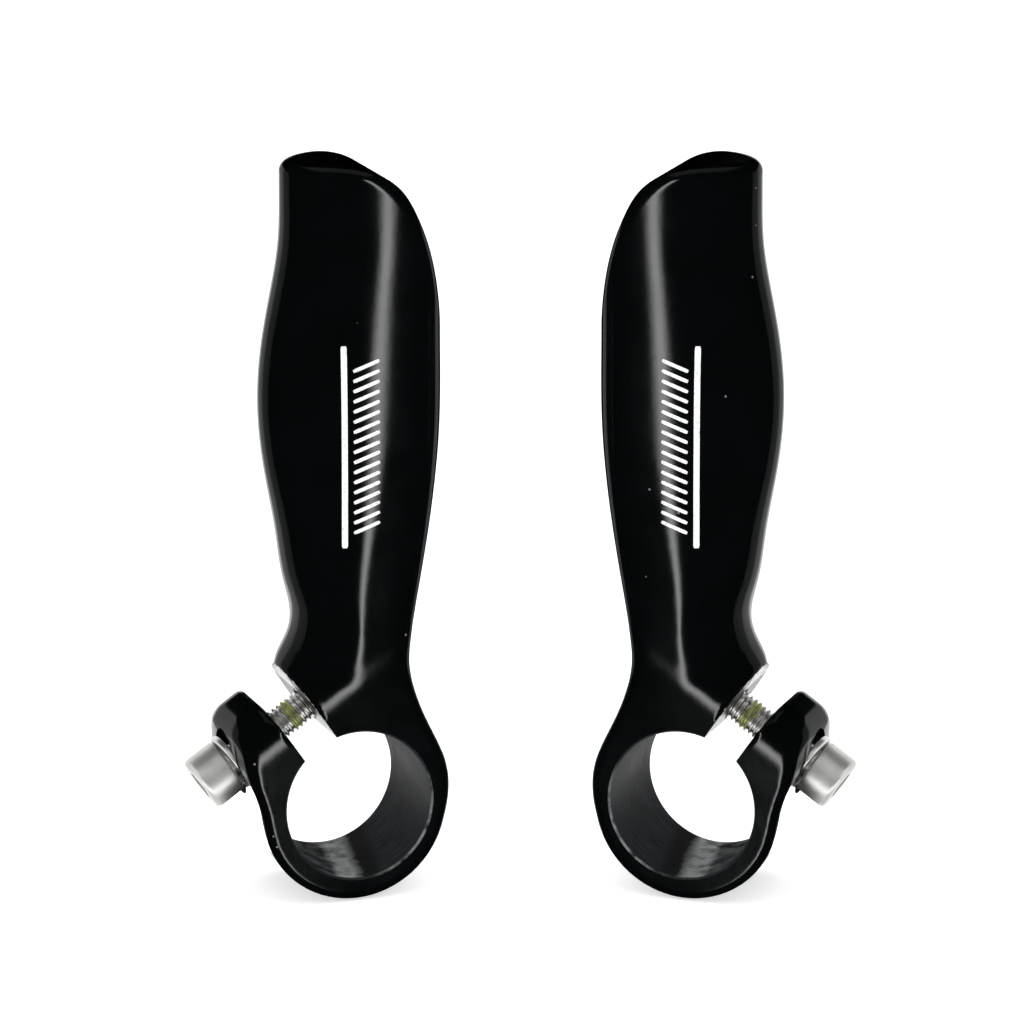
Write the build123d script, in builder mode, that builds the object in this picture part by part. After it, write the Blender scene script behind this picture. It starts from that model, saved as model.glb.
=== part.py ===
from build123d import *
from math import cos, pi, radians, sin
import os

# A pair of short cast bar ends for a bicycle handlebar, mm.
# Each one is a casting with a split clamp, closed by a cap screw and a washer.
# The left bar end is drawn about its own bore: X across the grip, Y along the bore, Z up the grip.
# Both are then set down beside each other, and the origin lies midway between the two bores.

# placing of the pair
BORE_SPREAD = 53.9
TOE_OUT = 19.9

# clamp
CLAMP_W = 19.0
HALF_W = CLAMP_W / 2
BORE_R = 11.2
BORE_EDGE = 0.3
RING_R = 14.3
RING_CENTRE = (-0.5, -0.35)
ROUND_EDGE = 1.2

# screw axes: n runs along the screw into the grip, m away from the bore
SCREW_TILT = 34.0
AXIS_M = 14.2
SLIT_FROM = -2.65
SLIT_TO = 3.15
BOSS_FLAT = 16.0
BOSS_TOP = 22.2
OVER_BOSS = 24.0
EAR_PLAN = [
    (-9.0, -HALF_W - 0.02), (-14.6, -9.0), (-17.4, -7.0), (-19.4, -3.2),
    (-19.9, 0), (-19.4, 3.2), (-17.4, 7.0), (-14.6, 9.0), (-9.0, HALF_W + 0.02),
]
COUNTER_R = 5.0
COUNTER_FLOOR = 8.8
CLEAR_R = 2.75
TAP_R = 2.53
TAP_END = 14.5

# M5 screw, 22 long, unscrewed until its head stands clear of the ear
THREAD_R = 2.45
THREAD_ROOT_R = 2.05
PITCH = 0.8
GROOVES = 24
SCREW_L = 22.0
PLAIN_L = 2.2
SHANK_R = 2.42
HEAD_N = -11.45
HEAD_R = 4.25
HEAD_H = 5.0
HEAD_EDGE = 0.7
UNDER_EDGE = 0.15
HEX_ACROSS = 4.0
HEX_DEEP = 2.6

# adhesive band on the thread
PATCH_AT = 10.6
PATCH_L = 2.4
PATCH_R = 2.5

# washer
WASHER_R = 4.5
WASHER_HOLE_R = 2.7
WASHER_T = 1.0
WASHER_N = -11.12
WASHER_EDGE = 0.15

# grip stations: height, left edge, right edge, ridge, half depth, squareness of the right side
STATIONS = [
    (10.0, -7.0, 9.4, 4.0, 8.90, 6.0),
    (16.0, -9.4, 8.4, 4.5, 9.05, 6.0),
    (20.5, -9.9, 8.1, 4.5, 9.18, 6.0),
    (23.6, -7.8, 8.5, 4.2, 9.30, 5.8),
    (26.8, -6.9, 9.2, 4.0, 9.45, 5.5),
    (32.0, -7.6, 10.25, 3.9, 9.70, 5.0),
    (40.0, -8.9, 11.8, 4.2, 10.03, 4.4),
    (48.0, -10.4, 13.15, 4.8, 10.30, 3.8),
    (55.0, -11.35, 14.0, 5.4, 10.45, 3.4),
    (62.0, -11.5, 14.35, 5.9, 10.50, 3.2),
    (70.0, -10.6, 14.35, 6.3, 10.40, 3.1),
    (77.0, -9.2, 14.25, 6.7, 10.20, 3.0),
    (83.0, -8.2, 14.1, 7.0, 9.95, 3.0),
    (90.0, -7.9, 13.95, 7.2, 9.65, 3.0),
    (100.0, -7.8, 13.9, 7.2, 9.40, 3.0),
]
LEFT_SQUARENESS = 2.15
SECTION_POINTS = 20
TOP_EDGE = 3.0
TOP_H = 95.9
TOP_FROM = 78.0

front = Plane.XZ
UP_SCREW = Axis((0, 0, 0), (cos(radians(SCREW_TILT)), 0, sin(radians(SCREW_TILT))))


def nm(n, m):
    """A point given on the screw's own axes, in the front view."""
    c = cos(radians(SCREW_TILT))
    s = sin(radians(SCREW_TILT))
    return (n * c - m * s, n * s + m * c)


def along_screw(n):
    """The plane square to the screw at n. Its x runs with the bore, its y away from the bore."""
    x, z = nm(n, AXIS_M)
    return Plane(origin=(x, 0, z), x_dir=(0, 1, 0), z_dir=UP_SCREW.direction)


def on_ring(angle):
    """A point of the ring's outside, in the front view."""
    x, z = RING_CENTRE
    return (x + RING_R * cos(radians(angle)), z + RING_R * sin(radians(angle)))


def round_ring(angle):
    """The direction along the ring's outside there."""
    return (-sin(radians(angle)), cos(radians(angle)))


def at_front_or_back(edge):
    """Whether an edge of the clamp's flat faces lies on its outside, clear of the boss and the neck."""
    c = edge.center()
    return abs(abs(c.Y) - HALF_W) < 0.01 and (c.X > 8.5 or c.Z < 0 or c.X < -12.5)


def rounded(value, power):
    """The signed root that makes a circle rounder or squarer."""
    return abs(value) ** (2 / power) * (1 if value >= 0 else -1)


def section(left, right, ridge, depth, squareness):
    """A horizontal outline of the grip: round to the left of its ridge, squarer to the right."""
    points = []
    for i in range(SECTION_POINTS):
        a = 2 * pi * (i + 0.5) / SECTION_POINTS
        power = squareness if cos(a) > 0 else LEFT_SQUARENESS
        reach = right - ridge if cos(a) > 0 else ridge - left
        points.append((ridge + reach * rounded(cos(a), power), depth * rounded(sin(a), power)))
    return points


def screw_profile():
    """Half of the screw's section: head, plain shank, and thread grooves down to the tip."""
    points = [(0, HEAD_H), (HEAD_R - HEAD_EDGE, HEAD_H), (HEAD_R, HEAD_H - HEAD_EDGE)]
    points += [(HEAD_R, UNDER_EDGE), (HEAD_R - UNDER_EDGE, 0), (SHANK_R, 0), (SHANK_R, -PLAIN_L)]
    for i in range(GROOVES):
        top = -PLAIN_L - i * PITCH
        points += [
            (THREAD_R, top - 0.06 * PITCH),
            (THREAD_ROOT_R, top - 0.45 * PITCH),
            (THREAD_ROOT_R, top - 0.60 * PITCH),
            (THREAD_R, top - 0.99 * PITCH),
        ]
    points += [(THREAD_ROOT_R, -SCREW_L), (0, -SCREW_L), (0, HEAD_H)]
    return points


# the handle, closed by a top that slopes down to the right
with BuildPart() as handle:
    for height, left, right, ridge, depth, squareness in STATIONS:
        with BuildSketch(Plane.XY.offset(height)):
            with BuildLine():
                Spline(section(left, right, ridge, depth, squareness), periodic=True)
            make_face()
    loft()
    with BuildSketch(front):
        with BuildLine():
            Polyline((15.0, 70.0), (20, 70.0), (20, 0), (-20, 0), (-20, TOP_H), (-6.0, TOP_H))
            Spline(
                [(-6.0, TOP_H), (2.0, 94.6), (6.8, 91.9), (10.3, 87.6), (12.9, 80.6), (15.0, 70.0)],
                tangents=((1, 0), (0.16, -1)),
            )
        make_face()
    extrude(amount=20, both=True, mode=Mode.INTERSECT)
    fillet(handle.edges().filter_by(lambda e: e.center().Z > TOP_FROM), TOP_EDGE)

# the clamp seen from the front: ring, flare into the neck, boss and ear
with BuildPart() as clamp:
    with BuildSketch(front):
        with Locations(RING_CENTRE):
            Circle(RING_R)
        with BuildLine():
            Polyline((8.3, 23.0), (0.0, 23.0), nm(10.0, OVER_BOSS), nm(0.0, OVER_BOSS), (0, 0), on_ring(7))
            Spline(
                [on_ring(7), (12.2, 8.7), (9.2, 15.1), (8.2, 19.5), (8.3, 23.0)],
                tangents=(round_ring(7), (0.1, 1)),
            )
        make_face()
        with BuildLine():
            Polyline(on_ring(192), (0, 0), nm(0.5, OVER_BOSS), nm(-7.4, OVER_BOSS))
            Spline(
                [nm(-7.4, OVER_BOSS), (-19.3, 12.6), (-18.4, 7.6), on_ring(192)],
                tangents=((-0.2, -1), round_ring(192)),
            )
        make_face()
    extrude(amount=HALF_W, both=True)

    # the back of the boss and ear is round along the screw
    with BuildSketch(along_screw(-15)):
        with Locations((0, BOSS_FLAT - AXIS_M + 20)):
            Rectangle(4 * HALF_W, 40)
        with Locations((0, BOSS_FLAT - AXIS_M)):
            Ellipse(HALF_W, BOSS_TOP - BOSS_FLAT, mode=Mode.SUBTRACT)
    extrude(amount=40, mode=Mode.SUBTRACT)
    ear_side = clamp.faces().sort_by(Axis.X)[0]
    fillet(ear_side.edges() + clamp.edges().filter_by(at_front_or_back), ROUND_EDGE)

    # seen from above, the ear narrows towards the screw head
    with BuildSketch(Plane.XY.offset(-20)):
        with BuildLine():
            Polyline(EAR_PLAN[0], (20, -HALF_W - 1), (20, HALF_W + 1), EAR_PLAN[-1])
            Spline(EAR_PLAN, tangents=((-1, 0), (1, 0)))
        make_face()
    extrude(amount=60, mode=Mode.INTERSECT)

# one casting: clamp and handle, less the machined holes and the slit
with BuildPart() as grip:
    add(clamp.part)
    add(handle.part)

    # bore for the handlebar, bevelled at both rims
    mouth_r = BORE_R + BORE_EDGE + 1
    mouth_y = HALF_W + 1
    wall_y = HALF_W - BORE_EDGE
    with BuildSketch(Plane.XY):
        with BuildLine():
            Polyline(
                (0, -mouth_y), (mouth_r, -mouth_y), (BORE_R, -wall_y),
                (BORE_R, wall_y), (mouth_r, mouth_y), (0, mouth_y), close=True
            )
        make_face()
    revolve(axis=Axis.Y, mode=Mode.SUBTRACT)

    # slit through the clamp, square to the screw
    with BuildSketch(front):
        with BuildLine():
            Polyline(
                nm(SLIT_FROM, 6), nm(SLIT_TO, 6), nm(SLIT_TO, 30), nm(SLIT_FROM, 30), close=True
            )
        make_face()
    extrude(amount=CLAMP_W, both=True, mode=Mode.SUBTRACT)

    # counterbore and clearance hole in the ear, tapped hole in the boss
    with BuildSketch(along_screw(-COUNTER_FLOOR)):
        Circle(COUNTER_R)
    extrude(amount=-8, mode=Mode.SUBTRACT)
    with BuildSketch(along_screw(-COUNTER_FLOOR - 1)):
        Circle(CLEAR_R)
    extrude(amount=COUNTER_FLOOR, mode=Mode.SUBTRACT)
    with BuildSketch(along_screw(0)):
        Circle(TAP_R)
    extrude(amount=TAP_END, mode=Mode.SUBTRACT)

# cap screw, drawn upright: the head bears at height 0 and the tip points down
with BuildPart() as screw:
    with BuildSketch(Plane.XZ):
        with BuildLine():
            Polyline(screw_profile())
        make_face()
    revolve(axis=Axis.Z)
    with BuildSketch(Plane.XY.offset(HEAD_H - HEX_DEEP)):
        RegularPolygon(HEX_ACROSS / 2, 6, major_radius=False)
    extrude(amount=HEX_DEEP, mode=Mode.SUBTRACT)

# adhesive band that fills the grooves of the thread and covers their crests by a film
with BuildPart() as patch:
    with Locations((0, 0, -PATCH_AT)):
        Cylinder(PATCH_R, PATCH_L, align=(Align.CENTER, Align.CENTER, Align.MAX))
    add(screw.part, mode=Mode.SUBTRACT)

# washer, drawn flat: it lies below height 0
with BuildPart() as washer:
    with BuildSketch():
        Circle(WASHER_R)
        Circle(WASHER_HOLE_R, mode=Mode.SUBTRACT)
    extrude(amount=-WASHER_T)
    circles = washer.edges().filter_by(GeomType.CIRCLE)
    chamfer(circles.filter_by(lambda e: e.radius > WASHER_R - 0.1), WASHER_EDGE)

# the drawn pieces of the left bar end, in place; the right one is its mirror image
upside_down = Location((0, 0, 0), (180, 0, 0))
screw_at = Location(along_screw(HEAD_N)) * upside_down
washer_at = Location(along_screw(WASHER_N)) * upside_down
left_at = Location((-BORE_SPREAD / 2, 0, 0), (0, 0, TOE_OUT))
pieces = {
    "grip_body": left_at * grip.part,
    "screw": left_at * screw_at * screw.part,
    "thread_patch": left_at * screw_at * patch.part,
    "washer": left_at * washer_at * washer.part,
}

os.makedirs("parts", exist_ok=True)
for name, left_piece in pieces.items():
    right_piece = mirror(left_piece, about=Plane.YZ)
    left_piece.label = "left_" + name
    right_piece.label = "right_" + name
    export_step(left_piece, "parts/left_" + name + ".step")
    export_step(right_piece, "parts/right_" + name + ".step")
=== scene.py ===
import bmesh
import bpy
import math
import numpy as np
from mathutils import Matrix, Vector
from mathutils.bvhtree import BVHTree


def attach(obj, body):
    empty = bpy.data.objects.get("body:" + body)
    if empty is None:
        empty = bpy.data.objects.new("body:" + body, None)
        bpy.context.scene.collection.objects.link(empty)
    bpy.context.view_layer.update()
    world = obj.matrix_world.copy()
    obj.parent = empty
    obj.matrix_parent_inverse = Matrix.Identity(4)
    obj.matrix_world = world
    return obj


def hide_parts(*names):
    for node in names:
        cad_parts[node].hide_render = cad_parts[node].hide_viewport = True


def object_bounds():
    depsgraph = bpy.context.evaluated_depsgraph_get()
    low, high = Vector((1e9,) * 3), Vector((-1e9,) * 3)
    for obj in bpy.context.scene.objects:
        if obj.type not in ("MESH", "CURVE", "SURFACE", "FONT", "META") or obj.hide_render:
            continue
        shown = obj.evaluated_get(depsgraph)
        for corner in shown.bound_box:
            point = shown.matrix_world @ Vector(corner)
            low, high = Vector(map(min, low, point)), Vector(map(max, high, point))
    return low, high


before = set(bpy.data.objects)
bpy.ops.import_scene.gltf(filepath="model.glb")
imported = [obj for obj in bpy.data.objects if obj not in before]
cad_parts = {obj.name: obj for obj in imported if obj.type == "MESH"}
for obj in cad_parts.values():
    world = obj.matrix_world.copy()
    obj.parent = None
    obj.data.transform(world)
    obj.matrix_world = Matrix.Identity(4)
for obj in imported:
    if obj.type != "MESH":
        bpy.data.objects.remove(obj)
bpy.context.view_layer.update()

# A pair of short cast bar ends. Shapes are drawn for the left one about its own bore, in mm:
# x across the grip, y along the bore, z up the grip. The right one is its mirror image.
MM = 0.001
BORE_SPREAD = 53.9
TOE_OUT = math.radians(19.9)
TILT = math.radians(34.0)
AXIS_M = 14.2

# the clamp: ring, slit, the fold of its sides over the boss, and the screw's holes
HALF_W = 9.5
BORE_R = 11.2
BORE_EDGE = 0.3
RING_R = 14.15
RING_CENTRE = (-0.40, -0.42)
SLIT_FROM = -2.65
SLIT_TO = 3.15
FOLD_FROM = 14.3
FOLD_RATE = 0.0425
BOSS_TOP = 20.6
BOSS_ROUND = 4.0
OVER_BOSS = 24.0
EAR_PLAN = [(-15.2, 13.6), (-16.6, 11.0), (-18.0, 8.6), (-19.2, 5.8), (-19.8, 2.9), (-19.95, 0.0)]
COUNTER_R = 5.0
COUNTER_FLOOR = 8.8
CLEAR_R = 2.75
TAP_R = 2.53
TAP_END = 14.5
TAP_MOUTH_R = 2.8
TAP_MOUTH_DEEP = 0.3

# the screw, the adhesive on it and its washer
THREAD_R = 2.45
THREAD_ROOT_R = 2.05
PITCH = 0.8
SCREW_L = 22.0
PLAIN_L = 2.2
SHANK_R = 2.42
HEAD_N = -11.45
HEAD_R = 4.25
HEAD_H = 5.0
HEX_ACROSS = 4.0
HEX_DEEP = 2.6
PATCH_AT = 10.6
PATCH_L = 2.4
PATCH_R = 2.5
WASHER_R = 4.5
WASHER_HOLE_R = 2.7
WASHER_T = 1.0
WASHER_N = -11.12
WASHER_LEAN = math.radians(3.6)

# grip stations: height, left edge, right edge, ridge, half depth, squareness of the right side
STATIONS = np.array([
    (10.0, -7.0, 9.4, 1.0, 7.60, 7.0),
    (16.0, -9.2, 8.5, 1.0, 8.90, 7.0),
    (20.5, -9.3, 8.4, 1.1, 9.47, 7.0),
    (23.6, -7.6, 8.8, 1.2, 9.56, 6.8),
    (26.8, -6.9, 9.4, 1.3, 9.64, 6.2),
    (32.0, -7.95, 10.5, 1.7, 9.78, 5.3),
    (40.0, -9.25, 12.1, 3.1, 10.03, 4.4),
    (48.0, -10.7, 13.35, 4.7, 10.30, 3.8),
    (55.0, -11.65, 14.1, 5.9, 10.45, 3.4),
    (62.0, -11.8, 14.4, 6.4, 10.50, 3.2),
    (70.0, -10.9, 14.45, 6.7, 10.40, 3.1),
    (77.0, -9.5, 14.6, 6.9, 10.20, 3.0),
    (83.0, -8.5, 14.6, 7.4, 9.95, 3.0),
    (90.0, -8.25, 14.4, 7.9, 9.65, 3.0),
    (100.0, -8.2, 14.2, 8.2, 9.40, 3.0),
])
LEFT_SQUARENESS = 2.15
TOP_EDGE = 1.8
TOP_H = 95.45
NET_STEP = 0.8


# ---------------------------------------------------------------- curves and fields
def nm(n, m):
    """A point given along the screw (n) and away from the bore (m), in the front view."""
    return (n * math.cos(TILT) - m * math.sin(TILT), n * math.sin(TILT) + m * math.cos(TILT))


def on_ring(angle):
    """A point of the ring's outside, in the front view."""
    a = math.radians(angle)
    return (RING_CENTRE[0] + RING_R * math.cos(a), RING_CENTRE[1] + RING_R * math.sin(a))


def natural_spline(x, y):
    """A function for the natural cubic spline through the points."""
    x = np.asarray(x, float)
    y = np.asarray(y, float)
    n = len(x)
    h = np.diff(x)
    a = np.eye(n)
    b = np.zeros((n,) + y.shape[1:])
    for i in range(1, n - 1):
        a[i, i - 1:i + 2] = (h[i - 1], 2 * (h[i - 1] + h[i]), h[i])
        b[i] = 6 * ((y[i + 1] - y[i]) / h[i] - (y[i] - y[i - 1]) / h[i - 1])
    bend = np.linalg.solve(a, b)

    def at(t):
        t = np.clip(t, x[0], x[-1])
        i = np.clip(np.searchsorted(x, t) - 1, 0, n - 2)
        w = h[i]
        u = (x[i + 1] - t)
        v = (t - x[i])
        if y.ndim > 1:
            w, u, v = w[:, None], u[:, None], v[:, None]
        cube = (bend[i] * u ** 3 + bend[i + 1] * v ** 3) / (6 * w)
        return cube + (y[i] / w - bend[i] * w / 6) * u + (y[i + 1] / w - bend[i + 1] * w / 6) * v

    return at


def curve_through(points, start=None, end=None, steps=14):
    """Points along a smooth curve through the given ones, with directions at its ends if given."""
    p = np.array(points, float)
    chord = np.r_[0, np.cumsum(np.hypot(*np.diff(p, axis=0).T))]
    if start is not None:
        reach = chord[1] * 0.04
        p = np.insert(p, 1, p[0] + reach * np.array(start) / np.hypot(*start), axis=0)
        chord = np.insert(chord, 1, reach)
    if end is not None:
        reach = (chord[-1] - chord[-2]) * 0.04
        p = np.insert(p, -1, p[-1] - reach * np.array(end) / np.hypot(*end), axis=0)
        chord = np.insert(chord, -1, chord[-1] - reach)
    t = np.linspace(0, chord[-1], steps * len(points))
    return [tuple(q) for q in natural_spline(chord, p)(t)]


class Outline:
    """The signed distance to a closed outline, kept on a grid and read smoothly between its points."""

    def __init__(self, points, lo, hi, step=0.25):
        self.lo, self.step = np.array(lo, float), step
        size = np.ceil((np.array(hi) - self.lo) / step).astype(int) + 1
        gx, gy = np.meshgrid(*[np.arange(s) * step + l for s, l in zip(size, self.lo)], indexing="ij")
        a = np.array(points, float)
        b = np.roll(a, -1, axis=0)
        best = np.full(gx.shape, 1e9)
        inside = np.zeros(gx.shape, bool)
        for (ax, ay), (bx, by) in zip(a, b):
            ex, ey = bx - ax, by - ay
            long = ex * ex + ey * ey
            if long < 1e-12:
                continue
            t = np.clip(((gx - ax) * ex + (gy - ay) * ey) / long, 0, 1)
            best = np.minimum(best, (gx - ax - t * ex) ** 2 + (gy - ay - t * ey) ** 2)
            if ay != by:
                crosses = ((ay > gy) != (by > gy)) & (gx < ex * (gy - ay) / ey + ax)
                inside ^= crosses
        self.d = np.where(inside, -1, 1) * np.sqrt(best)

    def __call__(self, x, y):
        fx = np.clip((x - self.lo[0]) / self.step, 1, self.d.shape[0] - 3)
        fy = np.clip((y - self.lo[1]) / self.step, 1, self.d.shape[1] - 3)
        i, j = fx.astype(int), fy.astype(int)
        wx, wy = self.cubic(fx - i), self.cubic(fy - j)
        total = 0
        for p in range(4):
            for q in range(4):
                total = total + wx[p] * wy[q] * self.d[i + p - 1, j + q - 1]
        return total

    @staticmethod
    def cubic(t):
        return ((1 - t) ** 3 / 6, (3 * t ** 3 - 6 * t ** 2 + 4) / 6,
                (-3 * t ** 3 + 3 * t ** 2 + 3 * t + 1) / 6, t ** 3 / 6)


def both(a, b, r):
    """What lies in both shapes, its edge rounded by r."""
    return np.minimum(np.maximum(a, b), -r) + np.hypot(np.maximum(a + r, 0), np.maximum(b + r, 0))


def either(a, b, r):
    """What lies in either shape, blended over r."""
    h = np.maximum(r - np.abs(a - b), 0) / r
    return np.minimum(a, b) - h * h * r / 4


def ramp(t, start, end):
    """0 before start, 1 after end, smooth between."""
    s = np.clip((t - start) / (end - start), 0, 1)
    return s * s * (3 - 2 * s)


ring_arc = [on_ring(a) for a in np.arange(-168, -15, 2.0)]
flare = curve_through([on_ring(-15), (13.95, -1.2), (14.22, 2.0), (13.75, 5.2), (12.36, 8.7), (9.5, 15.1),
                       (8.55, 19.5), (8.5, 23.0), (9.0, 27.0), (9.7, 31.0)],
                      start=(math.sin(math.radians(15)), math.cos(math.radians(15))), end=(0.25, 1))
ear_side = curve_through([nm(-7.2, OVER_BOSS), (-18.9, 12.9), (-17.8, 7.8), (-15.3, 1.4), on_ring(192)],
                         start=(-0.2, -1), end=(-math.sin(math.radians(192)), math.cos(math.radians(192))))
clamp_outline = Outline(ring_arc + flare + [(0, 31.0), nm(10, OVER_BOSS)] + ear_side, (-26, -18), (20, 36))
plan_half = curve_through(EAR_PLAN, end=(0, -1))
ear_plan = Outline([(20, 14), (-15.0, 14)] + plan_half + [(x, -y) for x, y in plan_half[::-1]]
                   + [(-15.0, -14), (20, -14)], (-26, -14), (20, 14))
top_curve = curve_through([(-6.0, TOP_H), (2.9, 94.6), (7.3, 91.9), (10.0, 87.5), (12.8, 80.4),
                           (15.3, 72.0), (18.0, 62.0)], start=(1, 0), end=(0.3, -1))
front_view = Outline(top_curve + [(24, 50.0), (24, 4), (-24, 4), (-24, TOP_H)], (-20, 0), (22, 102), 0.4)
station_at = natural_spline(STATIONS[:, 0], STATIONS[:, 1:])


def casting_field(x, y, z):
    """Below zero inside the whole casting, before it is machined."""
    left, right, ridge, depth, square = station_at(z).T
    u = x - ridge
    reach = np.where(u > 0, right - ridge, ridge - left)
    p = np.where(u > 0, square, LEFT_SQUARENESS)
    a = np.maximum(np.abs(u) / reach, 1e-6)
    b = np.maximum(np.abs(y) / depth, 1e-6)
    f = (a ** p + b ** p) ** (1 / p)
    slope = np.hypot((a / f) ** (p - 1) / reach, (b / f) ** (p - 1) / depth)
    handle = both((f - 1) / slope, front_view(x, z), TOP_EDGE)

    n = x * math.cos(TILT) + z * math.sin(TILT)
    m = z * math.cos(TILT) - x * math.sin(TILT)
    q = np.maximum(m - FOLD_FROM, 0)
    boss = (np.abs(y) - HALF_W + FOLD_RATE * q * q) / np.hypot(1, 2 * FOLD_RATE * q)
    boss = both(boss, m - BOSS_TOP, BOSS_ROUND)
    boss = both(boss, ear_plan(x, y), 1.3)
    edge = 1.1 + 1.6 * ramp(-x, 12, 19) * ramp(z, 2, 10) + 1.4 * ramp(z, 14, 23) * ramp(x, 2, 6)
    clamp = both(clamp_outline(x, z), boss, edge)
    # near the bore the sawn slit is wider than the drawn one, which leaves it crisp corners
    spare = 0.02 + 0.6 * (1 - ramp(m, 13.5, 15.5))
    ear = both(clamp, n - SLIT_FROM - spare, 0.25 + 0.9 * ramp(m, 16.0, 20.0))
    rest = both(clamp, SLIT_TO - n - spare, 0.3)
    below = ramp(-m, -9.5, -7.5)
    split = np.where(n < 0.2, ear, rest)
    clamp = np.where(m > 9.5, split, clamp * below + (1 - below) * split)
    blend = 0.5 + 1.6 * ramp(z, 19, 24) * ramp(-x, -1, 3)
    return np.where(n > SLIT_TO, either(clamp, handle, blend), clamp)


# ---------------------------------------------------------------- meshes
def surface_net(field, lo, hi, step):
    """The field's surface: one point in each cell that it crosses, one quad for each edge that it crosses."""
    axes = [np.arange(l, h + step, step) for l, h in zip(lo, hi)]
    grid = np.meshgrid(*axes, indexing="ij")
    f = field(*[g.ravel() for g in grid]).reshape(grid[0].shape)
    inside = f < 0
    cells = tuple(s - 1 for s in f.shape)
    total = np.zeros(cells)
    weight = np.zeros(cells)
    where = np.zeros(cells + (3,))

    def corner(a, i, j, k):
        return a[i:i + cells[0], j:j + cells[1], k:k + cells[2]]

    ends = [(0, 0, 0), (1, 0, 0), (0, 1, 0), (0, 0, 1), (1, 1, 0), (1, 0, 1), (0, 1, 1), (1, 1, 1)]
    for start in ends:
        for axis in range(3):
            if start[axis]:
                continue
            stop = tuple(s + (k == axis) for k, s in enumerate(start))
            fa, fb = corner(f, *start), corner(f, *stop)
            hit = (fa < 0) != (fb < 0)
            t = np.where(hit, fa / np.where(hit, fa - fb, 1), 0)
            for k in range(3):
                where[..., k] += hit * (start[k] + (t if k == axis else 0))
            total += hit
    active = total > 0
    ids = np.full(cells, -1)
    ids[active] = np.arange(active.sum())
    base = np.stack(np.nonzero(active), axis=1)
    points = (base + where[active] / total[active][:, None]) * step + np.array([a[0] for a in axes])
    quads = []
    for axis in range(3):
        a = inside.take(range(0, f.shape[axis] - 1), axis)
        b = inside.take(range(1, f.shape[axis]), axis)
        u, v = (axis + 1) % 3, (axis + 2) % 3
        at = np.stack(np.nonzero(a != b), axis=1)
        keep = (at[:, u] > 0) & (at[:, v] > 0) & (at[:, u] < cells[u]) & (at[:, v] < cells[v])
        at = at[keep]
        turn = a[tuple(at.T)]
        shift = np.eye(3, dtype=int)
        ring = [at - shift[u] - shift[v], at - shift[v], at, at - shift[u]]
        quad = np.stack([ids[tuple(c.T)] for c in ring], axis=1)
        quads.append(np.where(turn[:, None], quad, quad[:, ::-1]))
    return points, np.concatenate(quads)


def settle(field, p, rounds=3, most=0.4):
    """Moves points onto the field's surface, along its slope."""
    e = 0.04
    for _ in range(rounds):
        x, y, z = p.T
        f = field(x, y, z)
        g = np.stack([
            field(x + e, y, z) - field(x - e, y, z),
            field(x, y + e, z) - field(x, y - e, z),
            field(x, y, z + e) - field(x, y, z - e),
        ], axis=1) / (2 * e)
        size = np.maximum((g * g).sum(1), 0.05)
        move = g * (f / size)[:, None]
        length = np.maximum(np.linalg.norm(move, axis=1, keepdims=True), 1e-9)
        p = p - move * np.minimum(1, most / length)
    return p


def relax(p, pairs, weight, rounds, back=0.52):
    """Evens out points along their edges. Going back after each round keeps the shape from shrinking."""
    count = np.bincount(pairs.ravel(), minlength=len(p))[:, None]
    for i in range(rounds * 2):
        s = np.zeros_like(p)
        for k in range(3):
            s[:, k] = np.bincount(pairs[:, 0], p[pairs[:, 1], k], len(p)) \
                + np.bincount(pairs[:, 1], p[pairs[:, 0], k], len(p))
        p = p + (0.5 if i % 2 == 0 else -back) * weight[:, None] * (s / count - p)
    return p


def mesh_of(name, points, faces, smooth=True):
    """A Blender mesh from points in mm."""
    mesh = bpy.data.meshes.new(name)
    mesh.from_pydata([tuple(p) for p in np.asarray(points)], [], [tuple(int(i) for i in f) for f in faces])
    mesh.validate()
    if smooth:
        mesh.shade_smooth()
    return mesh


def object_of(name, mesh):
    obj = bpy.data.objects.new(name, mesh)
    bpy.context.scene.collection.objects.link(obj)
    return obj


def edges_of(mesh):
    pairs = np.zeros(len(mesh.edges) * 2, int)
    mesh.edges.foreach_get("vertices", pairs)
    return pairs.reshape(-1, 2)


def coords_of(mesh):
    co = np.zeros(len(mesh.vertices) * 3)
    mesh.vertices.foreach_get("co", co)
    return co.reshape(-1, 3)


def applied(obj):
    """The object's mesh with its modifiers worked in; they are then removed."""
    graph = bpy.context.evaluated_depsgraph_get()
    mesh = bpy.data.meshes.new_from_object(obj.evaluated_get(graph))
    obj.modifiers.clear()
    obj.data = mesh
    return mesh


def turned(profile, segments):
    """A closed solid turned about z, from (radius, height) pairs that start and end on the axis."""
    points = [(0, 0, profile[0][1])]
    for r, h in profile[1:-1]:
        for k in range(segments):
            a = 2 * math.pi * k / segments
            points.append((r * math.cos(a), r * math.sin(a), h))
    points.append((0, 0, profile[-1][1]))
    faces = []
    rows = len(profile) - 2
    last = len(points) - 1
    for k in range(segments):
        k2 = (k + 1) % segments
        faces.append((0, 1 + k, 1 + k2))
        faces.append((last, 1 + (rows - 1) * segments + k2, 1 + (rows - 1) * segments + k))
        for r in range(rows - 1):
            a, b = 1 + r * segments, 1 + (r + 1) * segments
            faces.append((a + k, b + k, b + k2, a + k2))
    return points, faces


def along_screw(n):
    """Places a solid turned about z so that its z runs along the screw, from n on."""
    x, z = nm(n, AXIS_M)
    c, s = math.cos(TILT), math.sin(TILT)
    return Matrix(((0, -s, c, x), (1, 0, 0, 0), (0, c, s, z), (0, 0, 0, 1)))


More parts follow.
